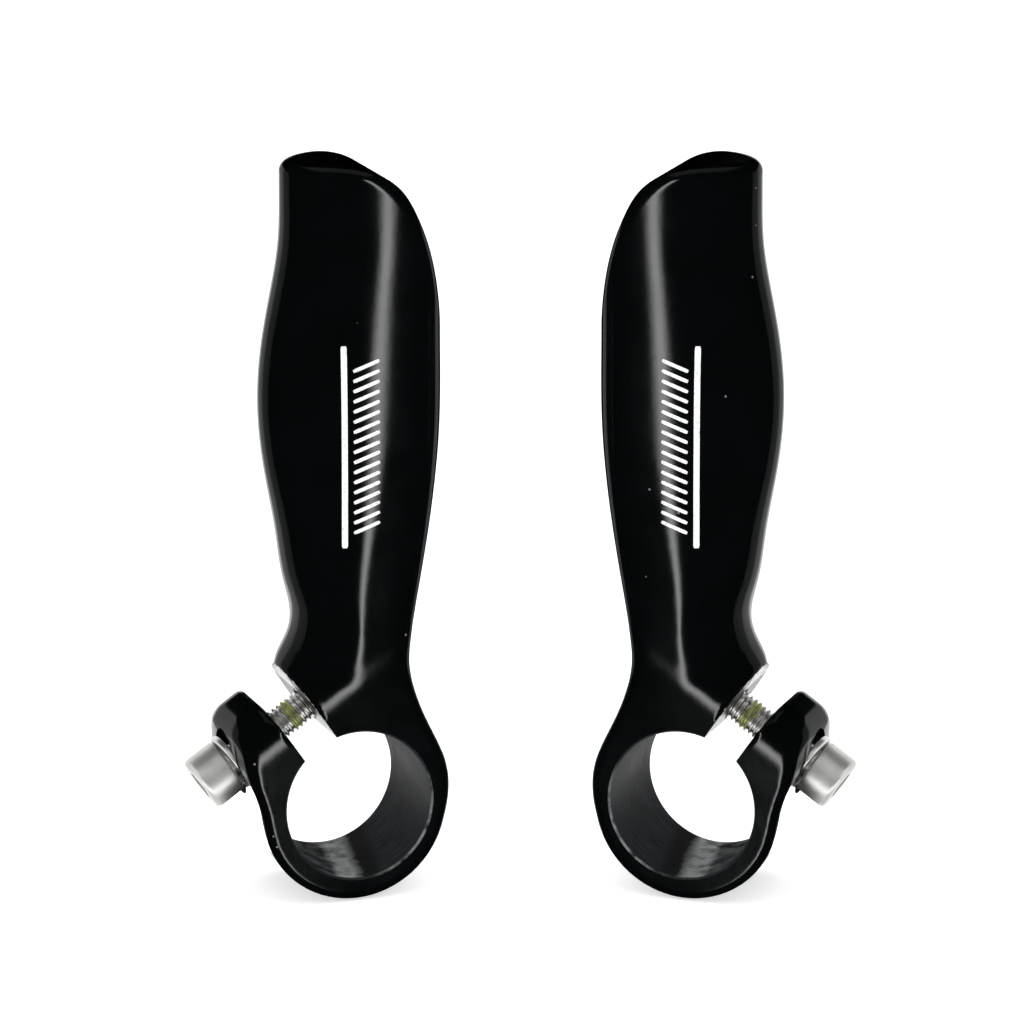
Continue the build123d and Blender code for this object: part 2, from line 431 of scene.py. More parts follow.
def cut(obj, name, points, faces, place, material):
    """Takes a solid away from the object; the new walls get the material."""
    tool_mesh = mesh_of(name, points, faces, smooth=True)
    tool_mesh.transform(place)
    grown = bmesh.new()
    grown.from_mesh(tool_mesh)
    bmesh.ops.recalc_face_normals(grown, faces=grown.faces)
    grown.to_mesh(tool_mesh)
    grown.free()
    tool_mesh.materials.append(material)
    tool = object_of(name, tool_mesh)
    mod = obj.modifiers.new("cut", "BOOLEAN")
    mod.operation = "DIFFERENCE"
    mod.solver = "EXACT"
    mod.material_mode = "TRANSFER"
    mod.object = tool
    applied(obj)
    bpy.data.objects.remove(tool)


# ---------------------------------------------------------------- materials
class Nodes:
    """A small helper to write node materials."""

    def __init__(self, name):
        self.mat = bpy.data.materials.new(name)
        self.mat.use_nodes = True
        self.tree = self.mat.node_tree
        self.shader = self.tree.nodes["Principled BSDF"]
        self.coords = self.tree.nodes.new("ShaderNodeTexCoord").outputs["Object"]

    def set(self, **values):
        for key, value in values.items():
            self.shader.inputs[key.replace("_", " ")].default_value = value

    def add(self, kind, inputs=(), **props):
        node = self.tree.nodes.new("ShaderNode" + kind)
        for key, value in props.items():
            setattr(node, key, value)
        for key, value in dict(inputs).items():
            if isinstance(value, bpy.types.NodeSocket):
                self.tree.links.new(value, node.inputs[key])
            else:
                node.inputs[key].default_value = value
        return node

    def math(self, op, a, b=0.0, clamp=False):
        return self.add("Math", {0: a, 1: b}, operation=op, use_clamp=clamp).outputs[0]

    def noise(self, scale, detail=2.0, rough=0.5, vector=None, distortion=0.0):
        return self.add("TexNoise", {"Vector": vector or self.coords, "Scale": scale, "Detail": detail,
                                     "Roughness": rough, "Distortion": distortion}).outputs["Fac"]

    def map(self, value, a, b, c=0.0, d=1.0):
        ends = {"From Min": a, "From Max": b, "To Min": c, "To Max": d}
        return self.add("MapRange", {"Value": value, **ends}).outputs["Result"]

    def mix(self, factor, a, b):
        node = self.add("Mix", {"Factor": factor}, data_type="RGBA")
        for socket, value in ((node.inputs[6], a), (node.inputs[7], b)):
            if isinstance(value, bpy.types.NodeSocket):
                self.tree.links.new(value, socket)
            else:
                socket.default_value = value
        return node.outputs[2]

    def bump(self, height, depth, below=None):
        inputs = {"Height": height, "Distance": depth, "Strength": 1.0}
        if below is not None:
            inputs["Normal"] = below
        return self.add("Bump", inputs).outputs["Normal"]

    def along(self, direction, origin=(0, 0, 0)):
        """How far a point lies along a direction, in mm."""
        moved = self.add("VectorMath", {0: self.coords, 1: origin}, operation="SUBTRACT").outputs[0]
        far = self.add("VectorMath", {0: moved, 1: direction}, operation="DOT_PRODUCT").outputs["Value"]
        return self.math("MULTIPLY", far, 1000.0)

    def away(self, direction, origin):
        """How far a point lies from an axis, in mm."""
        moved = self.add("VectorMath", {0: self.coords, 1: origin}, operation="SUBTRACT").outputs[0]
        side = self.add("VectorMath", {0: moved, 1: direction}, operation="CROSS_PRODUCT").outputs[0]
        far = self.add("VectorMath", {0: side}, operation="LENGTH").outputs["Value"]
        return self.math("MULTIPLY", far, 1000.0)

    def link(self, **sockets):
        for key, value in sockets.items():
            self.tree.links.new(value, self.shader.inputs[key.replace("_", " ")])
        return self.mat


def side_place(side):
    """From the left bar end's own mm to the shared frame in metres; side is -1 left, 1 right."""
    place = Matrix.Translation((-BORE_SPREAD / 2, 0, 0)) @ Matrix.Rotation(TOE_OUT, 4, "Z")
    place = Matrix.Scale(MM, 4) @ place
    return Matrix.Diagonal((-side, 1, 1, 1)) @ place if side > 0 else place


def direction_of(side, x, y, z):
    return (side_place(side).to_3x3() @ Vector((x, y, z))).normalized()


def point_of(side, x, y, z):
    return side_place(side) @ Vector((x, y, z))


def paint(side, name):
    """Satin black paint: soft orange peel, faint uneven gloss, a few dust specks, chipped along the slit."""
    k = Nodes(name)
    k.set(Metallic=0.0, IOR=1.5)
    k.shader.inputs["Coat Weight"].default_value = 0.25
    k.shader.inputs["Coat Roughness"].default_value = 0.07
    cloud = k.noise(140, 3)
    specks = k.add("TexVoronoi", {"Vector": k.coords, "Scale": 260.0, "Randomness": 1.0})
    chosen = k.add("SeparateColor", {0: specks.outputs["Color"]})
    dust = k.math("MULTIPLY", k.map(specks.outputs["Distance"], 0.034, 0.052, 1, 0),
                  k.math("GREATER_THAN", chosen.outputs[0], 0.55))
    n = k.along(direction_of(side, math.cos(TILT), 0, math.sin(TILT)), point_of(side, 0, 0, 0))
    ragged = k.map(k.noise(1400, 3, 0.6), 0.3, 0.7, -0.12, 0.14)
    to_ear = k.math("ABSOLUTE", k.math("SUBTRACT", n, SLIT_FROM))
    to_boss = k.math("ABSOLUTE", k.math("SUBTRACT", n, SLIT_TO))
    m = k.along(direction_of(side, -math.sin(TILT), 0, math.cos(TILT)), point_of(side, 0, 0, 0))
    chip = k.math("LESS_THAN", k.math("MINIMUM", to_ear, to_boss), ragged)
    patchy = k.math("ADD", m, k.map(k.noise(330, 2), 0.3, 0.7, -4.5, 4.5))
    chip = k.math("MULTIPLY", chip, k.math("GREATER_THAN", patchy, 17.5))
    colour = k.mix(cloud, (0.0008, 0.0012, 0.0013, 1), (0.0016, 0.0023, 0.0026, 1))
    colour = k.mix(dust, colour, (0.16, 0.16, 0.15, 1))
    colour = k.mix(chip, colour, (0.42, 0.42, 0.41, 1))
    rough = k.math("ADD", k.map(cloud, 0.3, 0.7, 0.09, 0.13), k.math("MULTIPLY", dust, 0.4), True)
    peel = k.bump(k.noise(900, 2, 0.5), 0.000006)
    fine = k.bump(k.noise(5200, 1, 0.5), 0.0000012, peel)
    return k.link(Base_Color=colour, Roughness=rough, Normal=fine)


def bore_wall(side, name):
    """The turned bore: dark, with tool marks round it, and a coarse worn patch at the bottom."""
    k = Nodes(name)
    k.set(Metallic=0.0, IOR=1.5, Specular_IOR_Level=0.17)
    along = k.along(direction_of(side, 0, 1, 0), point_of(side, 0, 0, 0))
    across = k.along(direction_of(side, 1, 0, 0), point_of(side, 0, 0, 0))
    up = k.along(Vector((0, 0, 1)), point_of(side, 0, 0, 0))
    turn = k.math("ARCTAN2", across, up)
    track = k.add("CombineXYZ", {0: along, 1: k.math("MULTIPLY", turn, 0.55), 2: 0.0}).outputs[0]
    rings = k.add("TexNoise", {"Vector": track, "Scale": 3.4, "Detail": 4.0, "Roughness": 0.62},
                  noise_dimensions="2D").outputs["Fac"]
    fine = k.add("TexNoise", {"Vector": track, "Scale": 9.0, "Detail": 2.0, "Roughness": 0.5},
                 noise_dimensions="2D").outputs["Fac"]
    rough_up = k.noise(420, 4, 0.62)
    drift = k.math("ADD", across, k.math("MULTIPLY", along, -0.17))
    ragged = k.math("MULTIPLY", k.math("SUBTRACT", rough_up, 0.5), 3.0)
    off = k.math("ABSOLUTE", k.math("ADD", drift, ragged))
    below = k.map(up, -8.0, -9.6)
    streak = k.math("MULTIPLY", below, k.map(off, 2.6, 1.0))
    streak = k.math("MULTIPLY", streak, k.map(rough_up, 0.34, 0.54, 0.35, 1.0), True)
    scuff = k.math("MULTIPLY", below, k.map(drift, 0.5, -0.5))
    scuff = k.math("MULTIPLY", scuff, k.map(rough_up, 0.40, 0.62, 0.0, 0.30), True)
    worn = k.math("MAXIMUM", streak, scuff)
    # a band beside the worn streak, low in the bore, is coloured darker
    dull = k.math("MULTIPLY", k.map(drift, 1.8, 2.6), k.map(drift, 5.6, 4.2))
    colour = k.mix(k.map(rings, 0.40, 0.62), (0.006, 0.007, 0.009, 1), (0.030, 0.035, 0.040, 1))
    dull = k.math("MULTIPLY", k.math("MULTIPLY", dull, below), 0.8)
    colour = k.mix(dull, colour, (0.004, 0.004, 0.004, 1))
    colour = k.mix(worn, colour, (0.34, 0.35, 0.35, 1))
    rough = k.map(rings, 0.3, 0.7, 0.50, 0.72)
    marks = k.bump(rings, 0.00009)
    marks = k.bump(fine, 0.000012, marks)
    marks = k.bump(k.math("MULTIPLY", rough_up, worn), 0.00020, marks)
    return k.link(Base_Color=colour, Roughness=rough, Normal=marks)


def rim_metal(side, name):
    """The turned edge of the bore: dark, with a painted highlight in patches low on its inner side."""
    k = Nodes(name)
    blot = k.noise(500, 3, 0.6)
    k.set(Metallic=0.2)
    across = k.along(direction_of(side, 1, 0, 0), point_of(side, 0, 0, 0))
    up = k.along(Vector((0, 0, 1)), point_of(side, 0, 0, 0))
    # painted highlight: the rim is coloured bright low on its inner side, in patches, for the light its edge
    # catches there
    painted_rim_highlight = k.math("MULTIPLY", k.map(across, 2.0, 6.5), k.map(up, 6.0, -1.0))
    painted_rim_highlight = k.math("MULTIPLY", painted_rim_highlight, k.map(blot, 0.36, 0.56))
    colour = k.mix(painted_rim_highlight, (0.02, 0.022, 0.024, 1), (0.24, 0.25, 0.25, 1))
    rough = k.map(blot, 0.3, 0.7, 0.3, 0.5)
    return k.link(Base_Color=colour, Roughness=rough, Normal=k.bump(blot, 0.00002))


def raw_cut(side, name):
    """The faces of the slit: black paint, worn through to sawn aluminium towards both ends but for a dark
    line along them; at the lower end the bare metal is painted darker, as shade.
    """
    k = Nodes(name)
    m = k.along(direction_of(side, -math.sin(TILT), 0, math.cos(TILT)), point_of(side, 0, 0, 0))
    y = k.along(direction_of(side, 0, 1, 0), point_of(side, 0, 0, 0))
    saw = {0: k.math("MULTIPLY", m, 2.6), 1: k.math("MULTIPLY", y, 0.25), 2: 0.0}
    saw = k.add("CombineXYZ", saw).outputs[0]
    lines = k.add("TexNoise", {"Vector": saw, "Scale": 2.2, "Detail": 3.0}, noise_dimensions="2D")
    lines = lines.outputs["Fac"]
    ragged = k.math("MULTIPLY", k.math("SUBTRACT", k.noise(700, 3, 0.6), 0.5), 3.0)
    low = k.map(k.math("ADD", m, ragged), 11.9, 11.4)
    worn = k.math("MAXIMUM", k.map(k.math("ADD", m, ragged), 17.4, 18.0), low)
    bare = k.mix(k.map(lines, 0.35, 0.6), (0.16, 0.16, 0.16, 1), (0.62, 0.62, 0.61, 1))
    # painted shade: towards the lower end the bare metal takes a darker grey
    bare = k.mix(low, bare, (0.10, 0.10, 0.10, 1))
    # a dark line along the face, 3.4 mm in front of its middle, where the bare metal is left black
    dark_line = k.math("ABSOLUTE", k.math("ADD", k.math("ADD", y, 3.4), k.math("MULTIPLY", ragged, 0.35)))
    worn = k.math("MULTIPLY", worn, k.map(dark_line, 0.9, 1.5))
    colour = k.mix(worn, (0.004, 0.005, 0.006, 1), bare)
    rough = k.map(lines, 0.3, 0.7, 0.28, 0.46)
    return k.link(Base_Color=colour, Metallic=worn, Roughness=rough, Normal=k.bump(lines, 0.00004))


def dark_hole(name):
    """Walls of the drilled holes: bare metal, dull, and painted nearly black for the shade inside them."""
    k = Nodes(name)
    k.set(Metallic=0.4)
    mottle = k.noise(900, 3)
    # painted shade: both colours are near black, standing in for the shade inside the holes
    colour = k.mix(mottle, (0.008, 0.008, 0.008, 1), (0.045, 0.045, 0.043, 1))
    rough = k.map(mottle, 0.3, 0.7, 0.4, 0.6)
    return k.link(Base_Color=colour, Roughness=rough, Normal=k.bump(mottle, 0.00002))


def zinc(name, side, tone, rough_from, rough_to, marks):
    """Zinc-plated steel: tone varies softly, tool marks run round the screw's axis."""
    k = Nodes(name)
    k.set(Metallic=1.0)
    d = direction_of(side, math.cos(TILT), 0, math.sin(TILT))
    x, z = nm(0, AXIS_M)
    at = point_of(side, x, 0, z)
    n, r = k.along(d, at), k.away(d, at)
    cloud = k.noise(260, 3, 0.55)
    track = k.add("CombineXYZ", {0: n, 1: r, 2: 0.0}).outputs[0]
    rings = k.add("TexNoise", {"Vector": track, "Scale": marks, "Detail": 3.0, "Roughness": 0.6},
                  noise_dimensions="2D").outputs["Fac"]
    grain = k.noise(3800, 2, 0.6)
    dark = tuple(c * 0.80 for c in tone) + (1,)
    colour = k.mix(k.map(cloud, 0.32, 0.68), dark, tuple(tone) + (1,))
    colour = k.mix(k.map(grain, 0.60, 0.78, 0, 0.35), colour, tuple(c * 0.55 for c in tone) + (1,))
    uneven = k.math("ADD", k.math("MULTIPLY", cloud, 0.5), k.math("MULTIPLY", grain, 0.5))
    rough = k.map(uneven, 0.3, 0.7, rough_from, rough_to)
    rough = k.math("MULTIPLY", rough, k.map(r, THREAD_R, THREAD_R + 0.2, 0.55, 1.0))
    marked = k.bump(grain, 0.000004, k.bump(rings, 0.000010))
    return k.link(Base_Color=colour, Roughness=rough, Normal=marked)


def adhesive(name):
    """Dried thread-lock: a yellow-green film, thin enough for the metal to shine through."""
    k = Nodes(name)
    k.set(IOR=1.45)
    blot = k.noise(1500, 3, 0.6)
    thin = k.map(blot, 0.30, 0.62)
    colour = k.mix(thin, (0.31, 0.32, 0.20, 1), (0.40, 0.43, 0.17, 1))
    return k.link(Base_Color=colour, Metallic=k.map(blot, 0.35, 0.60, 0.95, 0.60),
                  Roughness=k.map(blot, 0.3, 0.7, 0.24, 0.42), Normal=k.bump(blot, 0.00001))


def ink(name):
    """Silver-white pad print, slightly uneven."""
    k = Nodes(name)
    k.set(Metallic=0.0, IOR=1.5)
    blot = k.noise(2600, 3, 0.65)
    colour = k.mix(k.map(blot, 0.30, 0.52), (0.50, 0.51, 0.51, 1), (0.86, 0.87, 0.88, 1))
    rough = k.map(blot, 0.3, 0.7, 0.45, 0.6)
    return k.link(Base_Color=colour, Roughness=rough, Normal=k.bump(blot, 0.000006))


# ---------------------------------------------------------------- casting
def casting_mesh():
    """The left casting in its own mm, smooth and unmachined."""
    points, quads = surface_net(casting_field, (-22, -12, -17), (17, 12, 98), NET_STEP)
    points = settle(casting_field, points, 4, 0.6)
    mesh = mesh_of("casting", points, quads)
    weight = np.full(len(points), 0.6)
    points = relax(coords_of(mesh), edges_of(mesh), weight, 2)
    points = settle(casting_field, points, 2)
    mesh.vertices.foreach_set("co", points.ravel())
    obj = object_of("casting", mesh)
    mod = obj.modifiers.new("finer", "SUBSURF")
    mod.levels = mod.render_levels = 1
    mesh = applied(obj)
    points = settle(casting_field, coords_of(mesh), 2, 0.2)
    x, y, z = points.T
    neck = ramp(z, 15, 19) * (1 - ramp(z, 27, 33))
    m = z * math.cos(TILT) - x * math.sin(TILT)
    boss = ramp(m, 12, 14) * (1 - ramp(z, 30, 34))
    n = x * math.cos(TILT) + z * math.sin(TILT)
    clear = np.minimum(np.abs(n - SLIT_FROM), np.abs(n - SLIT_TO))
    soft = np.maximum(neck, boss) * ramp(clear, 0.7, 1.6)
    points = relax(points, edges_of(mesh), 0.9 * soft, 10, 0.35)
    points = relax(points, edges_of(mesh), 0.6 * ramp(clear, 0.4, 1.0), 3)
    mesh.vertices.foreach_set("co", points.ravel())
    mesh.update()
    return obj


def machine(obj, side):
    """Bore, slit and screw holes, cut into the casting."""
    rim = rim_metal(side, "rim_metal")
    wall = bore_wall(side, "bore_wall")
    raw = raw_cut(side, "raw_cut")
    hole = dark_hole("dark_hole")
    lie = Matrix.Rotation(math.radians(90), 4, "X")
    for end in (-1, 1):
        cone = [(0, end * (HALF_W + 1)), (BORE_R + BORE_EDGE + 1, end * (HALF_W + 1)),
                (BORE_R - 1, end * (HALF_W - BORE_EDGE - 1)), (0, end * (HALF_W - BORE_EDGE - 1))]
        cut(obj, "edge_tool", *turned(cone, 192), lie, rim)
    past = HALF_W + 1
    bore = [(0, -past)] + [(BORE_R, h) for h in np.linspace(-past, past, 9)] + [(0, past)]
    cut(obj, "bore_tool", *turned(bore, 192), lie, wall)

    corners = []
    for depth in (-14, 14):
        for n, m in ((SLIT_FROM, 6), (SLIT_TO, 6), (SLIT_TO, 30), (SLIT_FROM, 30)):
            px, pz = nm(n, m)
            corners.append((px, depth, pz))
    faces = [(0, 1, 2, 3), (7, 6, 5, 4), (0, 4, 5, 1), (1, 5, 6, 2), (2, 6, 7, 3), (3, 7, 4, 0)]
    cut(obj, "slit_tool", corners, faces, Matrix.Identity(4), raw)

    seat = [(0, 0), (COUNTER_R - 0.15, 0), (COUNTER_R, -0.15), (COUNTER_R, -9), (0, -9)]
    cut(obj, "seat_tool", *turned(seat, 72), along_screw(-COUNTER_FLOOR), hole)
    clear = [(0, 0), (CLEAR_R, 0), (CLEAR_R, COUNTER_FLOOR), (0, COUNTER_FLOOR)]
    cut(obj, "clear_tool", *turned(clear, 64), along_screw(-COUNTER_FLOOR - 1), hole)
    tap = [(0, 0), (TAP_MOUTH_R, 0), (TAP_MOUTH_R, SLIT_TO), (TAP_R, SLIT_TO + TAP_MOUTH_DEEP),
           (TAP_R, TAP_END - 1.4), (0, TAP_END)]
    cut(obj, "tap_tool", *turned(tap, 64), along_screw(0), hole)


def placed(obj, side):
    """Puts a piece drawn in the left bar end's mm into the shared frame."""
    place = side_place(side)
    obj.data.transform(place)
    if place.determinant() < 0:
        obj.data.flip_normals()
    obj.data.update()


def crisp(mesh, angle=32):
    """Smooth shading, but sharp where faces meet at more than the angle."""
    mesh.shade_smooth()
    mesh.set_sharp_from_angle(angle=math.radians(angle))


# ---------------------------------------------------------------- screw, washer, patch
def thread_radius(h, phase):
    """Radius of the thread at height h below the head, for a turn phase from 0 to 1."""
    t = np.mod(h / PITCH + phase, 1.0)
    flank = np.clip(np.abs(t - 0.5) * 2, 0, 1)
    tooth = np.clip((flank - 0.12) / 0.70, 0, 1)
    tooth = tooth * tooth * (3 - 2 * tooth) * 0.35 + tooth * 0.65
    full = ramp(h, PLAIN_L, PLAIN_L + 1.4 * PITCH)
    r = THREAD_ROOT_R + (THREAD_R - THREAD_ROOT_R) * tooth
    r = SHANK_R + (r - SHANK_R) * full
    tip = ramp(h, SCREW_L - 0.9, SCREW_L)
    return np.minimum(r, THREAD_R - tip * (THREAD_R - THREAD_ROOT_R + 0.12))


def screw_object(side, name):
    """A socket head cap screw along +z down its own length: head above zero, helical thread below."""
    round_over = [(HEAD_R - 0.8 + 0.8 * math.sin(a), HEAD_H - 0.8 + 0.8 * math.cos(a))
                  for a in np.radians(np.linspace(4, 90, 9))]
    head = [(0, HEAD_H), (HEAD_R - 1.4, HEAD_H)] + round_over
    head += [(HEAD_R, 3.2), (HEAD_R, 2.2), (HEAD_R, 1.0), (HEAD_R, 0.35)]
    head += [(HEAD_R - 0.3 + 0.3 * math.cos(a), 0.3 - 0.3 * math.sin(a))
             for a in np.radians((20, 45, 70, 90))]
    head += [(SHANK_R + 0.25, 0.0), (SHANK_R + 0.08, -0.06), (SHANK_R, -0.25)]
    segments = 96
    points, faces = turned(head + [(0, -0.25)], segments)
    points = points[:-1]
    faces = [f for f in faces if max(f) < len(points)]
    last_row = len(points) - segments
    rows = int((SCREW_L - 0.3) / PITCH * 14)
    angle = 2 * math.pi * np.arange(segments) / segments
    turn = angle / (2 * math.pi)
    for h in np.linspace(0.3, SCREW_L, rows):
        r = thread_radius(np.full(segments, h), turn)
        start = len(points)
        points += [(a * math.cos(t), a * math.sin(t), -h) for a, t in zip(r, angle)]
        for k in range(segments):
            k2 = (k + 1) % segments
            faces.append((last_row + k, start + k, start + k2, last_row + k2))
        last_row = start
    tip = len(points)
    points.append((0, 0, -SCREW_L))
    for k in range(segments):
        faces.append((tip, last_row + (k + 1) % segments, last_row + k))
    obj = object_of(name, mesh_of(name, points, faces))
    check = bmesh.new()
    check.from_mesh(obj.data)
    bmesh.ops.recalc_face_normals(check, faces=check.faces)
    check.to_mesh(obj.data)
    check.free()

    steel = zinc(name + "_steel", side, (0.74, 0.735, 0.72), 0.34, 0.46, 5.0)
    # painted shade: the socket's walls get the same plated steel in a darker tone, for the shade inside the
    # recess
    socket = zinc(name + "_socket", side, (0.40, 0.40, 0.39), 0.38, 0.52, 6.0)
    obj.data.materials.append(steel)
    across = HEX_ACROSS / 2 / math.cos(math.pi / 6)
    hexagon = []
    rims = ((HEAD_H + 0.6, 0.75), (HEAD_H, 0.22), (HEAD_H - 0.22, 0.0), (HEAD_H - HEX_DEEP, 0.0))
    for h, grow in rims:
        r = across + grow
        hexagon += [(r * math.cos(math.pi / 3 * k), r * math.sin(math.pi / 3 * k), h) for k in range(6)]
    hexagon.append((0, 0, HEAD_H - HEX_DEEP - 0.9))
    sides = [(0, 1, 2, 3, 4, 5)]
    for row in (0, 6, 12):
        sides += [(row + k, row + (k + 1) % 6, row + 6 + (k + 1) % 6, row + 6 + k) for k in range(6)]
    sides += [(18 + k, 18 + (k + 1) % 6, 24) for k in range(6)]
    cut(obj, name + "_key", hexagon, sides, Matrix.Identity(4), socket)
    crisp(obj.data, 40)

    x, z = nm(HEAD_N, AXIS_M)
    centre = point_of(side, x, 0, z)
    axis = direction_of(side, math.cos(TILT), 0, math.sin(TILT))
    spin = Vector((0, 0, -1)).rotation_difference(axis).to_matrix().to_4x4()
    obj.data.transform(Matrix.Translation(centre) @ spin @ Matrix.Scale(MM, 4))
    return obj, Matrix.Translation(centre) @ spin @ Matrix.Scale(MM, 4)


def patch_object(name, place, material):
    """A film of adhesive that follows the thread and ends raggedly."""
    segments, rows = 96, 44
    angle = 2 * math.pi * np.arange(segments) / segments
    points, faces = [], []
    for i, h in enumerate(np.linspace(PATCH_AT, PATCH_AT + PATCH_L, rows)):
        t = i / (rows - 1)
        wave = 0.16 * np.sin(3 * angle + 0.7) + 0.10 * np.sin(7 * angle + 2.1) + 0.06 * np.sin(13 * angle)
        inside = ramp(t, 0.02 + 0.18 * (0.5 + wave), 0.24 + 0.18 * (0.5 + wave)) \
            * (1 - ramp(t, 0.78 + 0.14 * wave, 0.97 + 0.03 * wave))
        crest = thread_radius(np.full(segments, h), angle / (2 * math.pi))
        fill = np.maximum(crest + 0.014, THREAD_ROOT_R + 0.07 + 0.04 * np.sin(5 * angle + 9 * t))
        r = crest - 0.05 + (np.minimum(fill, PATCH_R) - crest + 0.05) * inside
        start = len(points)
        points += [(a * math.cos(s), a * math.sin(s), -h) for a, s in zip(r, angle)]
        if i:
            before = start - segments
            faces += [(before + k, start + k, start + (k + 1) % segments, before + (k + 1) % segments)
                      for k in range(segments)]
    obj = object_of(name, mesh_of(name, points, faces))
    obj.data.materials.append(material)
    obj.data.transform(place)
    return obj


def washer_object(side, name):
    """A plain stamped washer, leaning on the screw: one face is rounded over, the other has crisp edges."""
    t, inner, outer = WASHER_T, WASHER_HOLE_R, WASHER_R
    ring = [(inner, -t + 0.08), (inner + 0.08, -t)]
    ring += [(outer - 0.05, -t), (outer, -t + 0.06), (outer, -0.40)]
    ring += [(outer - 0.25 + 0.25 * math.cos(a), -0.25 + 0.25 * math.sin(a))
             for a in np.radians((15, 40, 65, 90))]
    ring += [(inner + 0.22, 0.0), (inner + 0.07, -0.05), (inner, -0.2)]
    segments = 96
    points = [(r * math.cos(a), r * math.sin(a), h) for r, h in ring
              for a in 2 * math.pi * np.arange(segments) / segments]
    faces = []
    for i in range(len(ring)):
        a, b = i * segments, ((i + 1) % len(ring)) * segments
        faces += [(a + k, a + (k + 1) % segments, b + (k + 1) % segments, b + k) for k in range(segments)]
    obj = object_of(name, mesh_of(name, points, faces))
    crisp(obj.data, 40)
    obj.data.materials.append(zinc(name + "_zinc", side, (0.84, 0.84, 0.83), 0.28, 0.38, 7.0))
    middle = Matrix.Translation((0, 0, -t / 2))
    upside = Matrix.Rotation(math.pi, 4, "X")
    obj.data.transform(along_screw(WASHER_N) @ upside @ middle @ Matrix.Rotation(-WASHER_LEAN, 4, "Y")
                       @ middle.inverted())
    placed(obj, side)
    return obj


# ---------------------------------------------------------------- printed stripe
def stripe_object(side, name, tree):
    """A plain ruled stripe with slanting hatch bars, printed on the ridge."""
    strips = [((-1.95, 39.4), (-1.95, 69.6), 0.42)]
    low, high, count = 42.4, 66.6, 17
    for i in range(count):
        z = low + (high - low) * i / (count - 1)
        strips.append(((-0.65, z - 0.75), (3.15, z + 0.75), 0.27))
    points, faces = [], []
    for (x0, z0), (x1, z1), half in strips:
        a, b = Vector((x0, z0)), Vector((x1, z1))
        along = (b - a).normalized()
        side_way = Vector((-along.y, along.x)) * half
        steps = max(2, int((b - a).length / 0.35))
        start = len(points)
        for i in range(steps + 1):
            c = a + (b - a) * i / steps
            pinch = 1.0 if 0 < i < steps else 0.72
            for w in (-1, -0.34, 0.34, 1):
                q = c + side_way * w * (pinch if abs(w) == 1 else 1)
                hit, normal, _, _ = tree.ray_cast(Vector((q.x, -30, q.y)), Vector((0, 1, 0)))
                points.append(hit + normal * 0.03)
        for i in range(steps):
            for w in range(3):
                p = start + i * 4 + w
                faces.append((p, p + 1, p + 5, p + 4))
    obj = object_of(name, mesh_of(name, points, faces))
    turned_round = bmesh.new()
    turned_round.from_mesh(obj.data)
    for face in turned_round.faces:
        if face.normal.y > 0:
            face.normal_flip()
    turned_round.to_mesh(obj.data)
    turned_round.free()
    obj.data.materials.append(ink(name + "_ink"))
    placed(obj, side)
    return obj


# ---------------------------------------------------------------- building the pair
plain = casting_mesh()
surface = BVHTree.FromPolygons([v.co.copy() for v in plain.data.vertices],
                               [tuple(p.vertices) for p in plain.data.polygons])
painted, bare = [], []
machined = None
for side, hand in ((-1, "left"), (1, "right")):
    body = object_of(hand + "_casting", plain.data.copy())
    body.data.materials.clear()
    body.data.materials.append(paint(side, hand + "_paint"))
    if machined is None:
        machine(body, side)
        machined = body.data.copy()
    else:
        body.data = machined
        for i, make in enumerate((paint, rim_metal, bore_wall, raw_cut)):
            body.data.materials[i] = make(side, hand + "_" + make.__name__)
    placed(body, side)
    crisp(body.data)
    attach(body, hand + "_grip")
    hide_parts(hand + "_grip_body")

    stripe = stripe_object(side, hand + "_stripe", surface)
    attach(stripe, hand + "_grip")

    screw, place = screw_object(side, hand + "_cap_screw")
    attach(screw, hand + "_screw")
    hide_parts(hand + "_screw")

    patch = patch_object(hand + "_adhesive", place, adhesive(hand + "_adhesive_film"))
    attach(patch, hand + "_screw")
    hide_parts(hand + "_thread_patch")

    washer = washer_object(side, hand + "_flat_washer")
    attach(washer, hand + "_washer")
    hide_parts(hand + "_washer")
    painted.append([body, stripe])
    bare.append([screw, washer, patch])
bpy.data.objects.remove(plain)

# ---------------------------------------------------------------- floor, light and camera
scene = bpy.context.scene
scene.view_settings.view_transform = "Standard"


def receivers(name, objects):
    """A collection of the pieces that one light is meant for."""
    group = bpy.data.collections.new(name)
    for o in objects:
        group.objects.link(o)
    return group


def lamp(name, at, aim, size, glow, only=None):
    """A soft box at a place, turned to its aim; glow is how bright its face is."""
    data = bpy.data.lights.new(name, "AREA")
    data.shape = "RECTANGLE"
    data.size, data.size_y = size
    data.energy = 4 * size[0] * size[1] * glow
    obj = bpy.data.objects.new(name, data)
    obj.location = at
    obj.rotation_mode = "QUATERNION"
    obj.rotation_quaternion = (Vector(aim) - Vector(at)).to_track_quat("-Z", "Y")
    obj.visible_camera = False
    scene.collection.objects.link(obj)
    if only is not None:
        obj.light_linking.receiver_collection = only
    return obj


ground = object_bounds()[0].z - 0.0002
floor_rim = [(6 * math.cos(a), 6 * math.sin(a), ground) for a in np.linspace(0, 2 * math.pi, 97)[:-1]]
floor = object_of("floor", mesh_of("floor", floor_rim, [tuple(range(96))], smooth=False))
paper = Nodes("floor_paper")
paper.set(Roughness=0.85, IOR=1.3)
tone = paper.mix(paper.noise(30, 3), (0.78, 0.78, 0.78, 1), (0.81, 0.81, 0.81, 1))
floor.data.materials.append(paper.link(Base_Color=tone))
paper.shader.inputs["Emission Color"].default_value = (1, 1, 1, 1)
paper.shader.inputs["Emission Strength"].default_value = 0.6
floor.visible_glossy = False
floor.visible_shadow = False

